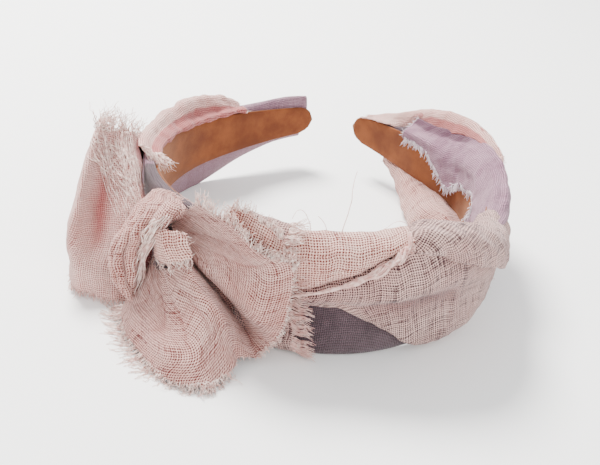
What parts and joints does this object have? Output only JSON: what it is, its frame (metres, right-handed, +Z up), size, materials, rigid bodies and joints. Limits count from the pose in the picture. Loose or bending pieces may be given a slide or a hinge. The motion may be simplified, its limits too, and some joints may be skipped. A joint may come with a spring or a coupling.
{
  "type": "knotted headband",
  "caption": "Springy open headband covered in linen, lined with suede, wound with raw-edged linen strips tied in a bow.",
  "frame": {"origin": "middle of the crown, on the plane that the band rests on", "axes": "+Z up from the resting plane, +Y from the crown to the open tips, +X towards the plain arm, so the bow is on the -X side"},
  "size_m": [0.1549, 0.1735, 0.055],
  "materials": {
    "core_plastic": "smooth moulded plastic, satin",
    "tan_suede": "napped microsuede, matt",
    "mauve_linen": "plain-weave linen, matt, raw edges",
    "pink_linen": "open plain-weave linen, matt, frayed raw edges"
  },
  "bodies": {
    "left_side": {"band_core": "core_plastic", "suede_lining": "tan_suede", "mauve_base_cover": "mauve_linen", "left_arm_wrap": "pink_linen", "left_tail": "pink_linen", "knot": "pink_linen", "knot_end": "pink_linen", "bow_fan": "pink_linen", "collar_strip": "pink_linen"},
    "right_side": {"upper_front_strip": "pink_linen", "lower_front_strip": "pink_linen", "corner_fold": "pink_linen", "right_arm_mauve_strip": "mauve_linen", "right_tip_strip": "pink_linen", "right_hanging_fold": "pink_linen"}
  },
  "joints": [
    {"name": "band_flex", "type": "hinge", "parent": "left_side", "child": "right_side", "pos_m": [0.0055, -0.0085, 0.0214], "axis": [0, 0, -1], "range_deg": [0, 40], "stiffness_Nm_per_rad": 0.5, "deforming": ["band_core", "suede_lining", "mauve_base_cover"]}
  ]
}
